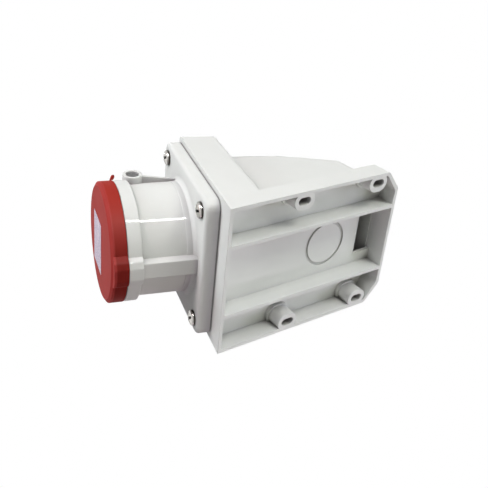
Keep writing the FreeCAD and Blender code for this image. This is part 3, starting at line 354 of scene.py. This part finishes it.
def shaded_screw(name):
    """Bright pan head: v of the UV runs from clean metal (0) to the painted shade of the recess and edge (1).
    """
    mat, tree, shader, where = new_material(name)
    place = tree.nodes.new("ShaderNodeTexCoord")
    part = tree.nodes.new("ShaderNodeSeparateXYZ")
    tree.links.new(place.outputs["UV"], part.inputs[0])
    shader.inputs["Metallic"].default_value = 1.0
    # Painted shade: near-black in the cross recess and round the head's edge, with random drift
    recess_shade = mixed(tree, noise(tree, where, 900.0, 3.0), (0.05, 0.042, 0.036), (0.012, 0.01, 0.009))
    clean = mixed(tree, noise(tree, where, 620.0, 3.0), (0.45, 0.43, 0.40), (0.86, 0.84, 0.81))
    tree.links.new(mixed(tree, between(tree, part.outputs["Y"], 0.05, 0.7), clean, recess_shade),
                   shader.inputs["Base Color"])
    tree.links.new(rescale(tree, noise(tree, where, 1400.0, 3.0), 0.1, 0.26), shader.inputs["Roughness"])
    relief(tree, shader, noise(tree, where, 2200.0, 3.0), 0.00001)
    return mat


screw_steel = shaded_screw("screw_steel")


# Flange screws: pan head with a cross recess, over a threaded shank

def pan_screw(name, node, x, v):
    """Profile (radius, height) carried round the screw's axis: cross recess, pan dome, edge, underside, then
    a shank whose radius swells once per pitch turn as a thread, down to its point. Inside the recess the
    height drops by a depth that falls linearly from the centre along each arm and is steep across it."""
    turns = 120
    thread_rows = 130
    pan_radius = 0.0052
    crown_radius = 0.0043
    dome_tall = 0.0034
    dome_fall = 0.0016
    arm_half = 0.00105
    arm_long = 0.0039
    arm_wall = 0.00012
    recess_deep = 0.0024
    recess_reach = 0.0054
    thread_core = 0.00162
    thread_tall = 0.00036
    pitch = 0.0014
    angle = np.linspace(0.0, 2 * np.pi, turns, endpoint=False)
    crown = np.linspace(0.00005, crown_radius, 44)
    dome = dome_tall - dome_fall * (crown / pan_radius) ** 2
    bend = np.linspace(0.15, np.pi / 2, 9)
    edge_r = 0.0042 + 0.0010 * np.sin(bend)
    edge_h = 0.0008 + 0.0015 * np.cos(bend)
    under_r = np.array([pan_radius, 0.0048, 0.0021])
    under_h = np.array([0.00025, 0.0, 0.0])
    shank_h = np.linspace(-0.0003, -0.0196, thread_rows)
    shank_r = np.full_like(shank_h, thread_core)
    tip_h = np.array([-0.0205, -0.0215, -0.0219])
    tip_r = np.array([0.0013, 0.0007, 0.0003])
    radius = np.concatenate([crown, edge_r, under_r, shank_r, tip_r])[:, None] * np.ones(turns)
    height = np.concatenate([dome, edge_h, under_h, shank_h, tip_h])[:, None] * np.ones(turns)
    px, py = radius * np.cos(angle), radius * np.sin(angle)
    arm = np.zeros_like(px)
    for along, across in ((px, py), (py, px)):
        wall = np.clip((arm_half - 0.08 * np.abs(along) - np.abs(across)) / arm_wall, 0.0, 1.0)
        fall = np.clip(recess_deep * (1.0 - np.abs(along) / recess_reach), 0.0, None)
        arm = np.maximum(arm, wall * fall * (np.abs(along) < arm_long))
    first = len(crown)
    height[:first] -= arm[:first]
    low = first + len(edge_r) + len(under_r)
    phase = height[low:low + thread_rows] / pitch - angle / (2 * np.pi)
    swell = np.clip(1.0 - 4.0 * np.abs(phase - np.floor(phase) - 0.5), 0.0, 1.0)
    radius[low:low + thread_rows] = thread_core + thread_tall * swell
    px, py = radius * np.cos(angle), radius * np.sin(angle)
    # Each screw stopped at an angle of its own
    turn = math.radians(16.0 + 25.0 * (x < 0) + 12.0 * (v > AXIS_OUT))
    qx = px * math.cos(turn) - py * math.sin(turn)
    qy = px * math.sin(turn) + py * math.cos(turn)
    points = head(x + qx, v + qy, FLANGE_FRONT + height)
    piece = surface(name, points, wrap_v=True, cap_first=True, cap_last=True)
    # Painted shade carried in the UV: dark in the cross recess and in a ring round the head's edge and
    # underside
    depth = np.zeros(radius.shape)
    depth[:first] = arm[:first] / recess_deep
    rows = np.arange(len(radius))
    shade_rows = [0, first - 8, first, first + 3, first + 7, low]
    ring = np.interp(rows, shade_rows, [0.0, 0.0, 0.12, 0.24, 0.6, 1.0])
    shade = np.clip(np.maximum(depth * 3.0, ring[:, None] * np.ones(turns)), 0.0, 1.0).reshape(-1)
    shade = np.concatenate([shade, [1.0, 1.0]])
    layer = piece.data.uv_layers.new(name="shade")
    corner = np.empty(len(piece.data.loops), dtype=int)
    piece.data.loops.foreach_get("vertex_index", corner)
    layer.data.foreach_set("uv", np.stack([(corner % turns) / turns, shade[corner]], axis=1).reshape(-1))
    piece.data.materials.append(screw_steel)
    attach(piece, "socket_body")
    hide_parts(node)


for number, (side, level) in enumerate(((-1, -1), (1, -1), (-1, 1), (1, 1)), start=1):
    pan_screw("pan_screw_%d" % number, "flange_screw_%d" % number,
              side * SCREW_PLACE, AXIS_OUT + level * SCREW_PLACE)


# Low band round the barrel's root, beside the flange

def root_band():
    """Closed ring: a low rectangle with rounded outer corners, carried round the barrel's axis."""
    turns = 180
    angle = np.linspace(0.0, 2 * np.pi, turns, endpoint=False)
    proud = np.array([-0.5, 0.05, 0.22, 0.28, 0.28, 0.24, 0.12, -0.1, -0.5]) * 0.001
    along = np.array([9.8, 9.8, 9.9, 10.1, 14.8, 15.0, 15.15, 15.2, 15.2]) * 0.001
    radius = BARREL_RADIUS + proud[:, None]
    points = head(radius * np.cos(angle), AXIS_OUT + radius * np.sin(angle), along[:, None])
    piece = surface("root_band", points, wrap_u=True, wrap_v=True)
    piece.data.materials.append(housing_grey)
    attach(piece, "socket_body")


root_band()


# Dark grey plug in the blind hole of the eye, its dark grey a painted shade for the hole

def eye_plug():
    """Radius-and-depth profile carried round the eye's own axis: flat middle with a low ring, a rounded rim,
    then the side down into the hole."""
    turns = 48
    angle = np.linspace(0.0, 2 * np.pi, turns, endpoint=False)
    radius = np.array([0.4, 1.6, 2.4, 2.8, 3.4, 3.9, 4.1, 4.15, 4.15, 4.15]) * 0.001
    height = np.array([0.0, 0.0, 0.1, 0.1, 0.0, 0.0, -0.1, -0.3, -2.0, -4.0]) * 0.001
    below_face = 0.0009
    across = EYE_FACE - below_face + height[:, None] + 0.0 * angle
    v = AXIS_OUT + EYE_OUT + radius[:, None] * np.cos(angle)
    along = EYE_ALONG + radius[:, None] * np.sin(angle)
    piece = surface("eye_plug", head(across, v, along), wrap_v=True, cap_first=True, cap_last=True)
    piece.data.materials.append(hole_shade_grey)
    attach(piece, "socket_body")


eye_plug()


# Camera, as fitted to the photograph

def aim_camera():
    """Camera at the photograph's place; gives its right, up and ahead directions."""
    sensor_wide = 36.0
    focal_pixels = 751.1
    image_wide = 488.0
    data = bpy.data.cameras.new("camera")
    camera = bpy.data.objects.new("camera", data)
    bpy.context.scene.collection.objects.link(camera)
    right = Vector((0.09249, 0.57355, 0.81393))
    down = Vector((-0.86681, 0.44863, -0.21764))
    ahead = Vector((-0.48998, -0.6854, 0.53865))
    turn = Matrix((right, -down, -ahead)).transposed()
    camera.matrix_world = Matrix.Translation((0.24112, 0.3015, -0.22628)) @ turn.to_4x4()
    data.sensor_width = sensor_wide
    data.lens = sensor_wide * focal_pixels / image_wide
    data.clip_start = 0.01
    data.clip_end = 20.0
    bpy.context.scene.camera = camera
    return right, -down, ahead


RIGHT, UP, AHEAD = aim_camera()
MIDDLE = Vector((0.0, -0.055, 0.035))
LAMP_FAR = 0.9
LAMP_WIDE = 0.24
STRIP_TOWARDS = (0.880, 0.467, 0.110)


# Light: soft boxes round the object, and a world that is white only where it is seen or mirrored

def soft_box(name, towards, far, wide, tall, power, tint=(1.0, 1.0, 1.0)):
    """Area lamp at a distance from the object's middle, facing it."""
    data = bpy.data.lights.new(name, "AREA")
    data.shape = "RECTANGLE"
    data.size = wide
    data.size_y = tall
    data.energy = power
    data.color = tint
    lamp = bpy.data.objects.new(name, data)
    bpy.context.scene.collection.objects.link(lamp)
    back = Vector(towards).normalized()
    lamp.location = MIDDLE + back * far
    lamp.rotation_mode = "QUATERNION"
    lamp.rotation_quaternion = back.to_track_quat("Z", "Y")
    return lamp


# name: right, up and towards the camera from the object's middle; power; tint
LAMPS = (
    ("left_box", (-1.0, 0.4, 0.4), 2.27, (0.90, 1.05, 1.05)),
    ("top_left_box", (-1.0, 1.0, 1.0), 2.85, (1.08, 0.96, 0.96)),
    ("top_box", (0.0, 1.0, 1.0), 2.02, (0.96, 1.0, 1.04)),
    ("top_right_box", (1.0, 1.0, 1.0), 2.28, (1.02, 1.03, 0.95)),
    ("right_box", (1.0, 0.0, 0.0), 1.94, (0.94, 0.95, 1.11)),
    ("right_front_box", (1.0, 0.4, 0.4), 0.60, (0.94, 1.08, 0.98)),
    ("low_right_box", (1.0, -1.0, 0.0), 1.16, (1.02, 0.97, 1.01)),
    ("low_front_box", (1.0, -1.0, 1.0), 0.63, (1.07, 1.10, 0.83)),
    ("low_box", (0.0, -1.0, 0.0), 0.62, (1.2, 0.8, 1.0)),
    ("far_box", (0.0, 0.0, -1.0), 5.0, (1.0, 1.0, 1.0)),
)
for name, (a, b, c), power, tint in LAMPS:
    soft_box(name, RIGHT * a + UP * b - AHEAD * c, LAMP_FAR, LAMP_WIDE, LAMP_WIDE, power, tint)


def thin_strip():
    """Narrow lamp, seen only in gloss, whose long side runs along the barrel: it draws the line on it."""
    strip = soft_box("strip", STRIP_TOWARDS, 1.0, 0.012, 0.7, 46.0)
    strip.visible_diffuse = False
    back = Vector(STRIP_TOWARDS).normalized()
    level = back.cross(Vector(MOUTH)).normalized()
    strip.rotation_quaternion = Matrix((level, back.cross(level), back)).transposed().to_quaternion()


thin_strip()


def seen_rays(tree):
    """1 for camera, mirror and see-through rays, 0 for the light that falls on the object."""
    path = tree.nodes.new("ShaderNodeLightPath")
    either = path.outputs["Is Camera Ray"]
    for ray in ("Is Glossy Ray", "Is Transmission Ray"):
        either = larger(tree, either, path.outputs[ray])
    return either


def white_world(level):
    """Grey light for the object; plain white for camera, mirror and see-through rays."""
    world = bpy.data.worlds.new("studio")
    bpy.context.scene.world = world
    world.use_nodes = True
    tree = world.node_tree
    tree.nodes.clear()
    out = tree.nodes.new("ShaderNodeOutputWorld")
    lit = tree.nodes.new("ShaderNodeBackground")
    lit.inputs["Color"].default_value = (*level, 1.0)
    seen = tree.nodes.new("ShaderNodeBackground")
    seen.inputs["Color"].default_value = (1.0, 1.0, 1.0, 1.0)
    mix = tree.nodes.new("ShaderNodeMixShader")
    tree.links.new(seen_rays(tree), mix.inputs[0])
    tree.links.new(lit.outputs[0], mix.inputs[1])
    tree.links.new(seen.outputs[0], mix.inputs[2])
    tree.links.new(mix.outputs[0], out.inputs[0])


white_world((0.055, 0.055, 0.055))


def pale_floor():
    """Plain floor far below, since the socket hangs on its wall and the camera looks up past its mouth."""
    half_wide = 8.0
    drop = 1.2
    side = np.linspace(-half_wide, half_wide, 17)
    gx, gy = np.meshgrid(side, side, indexing="ij")
    floor = surface("pale_floor", np.stack([gx, gy, np.full_like(gx, -drop)], axis=-1))
    mat, tree, shader, where = new_material("floor_paint")
    paint = steps(tree, noise(tree, where, 3.0), [(0.3, (0.86, 0.86, 0.86)), (0.7, (0.9, 0.9, 0.9))])
    tree.links.new(paint, shader.inputs["Base Color"])
    shader.inputs["Roughness"].default_value = 0.8
    glow = tree.nodes.new("ShaderNodeMath")
    glow.operation = "MULTIPLY"
    glow.inputs[1].default_value = 0.84
    tree.links.new(seen_rays(tree), glow.inputs[0])
    shader.inputs["Emission Color"].default_value = (1.0, 1.0, 1.0, 1.0)
    tree.links.new(glow.outputs[0], shader.inputs["Emission Strength"])
    floor.data.materials.append(mat)


pale_floor()

bpy.context.scene.view_settings.view_transform = "Standard"
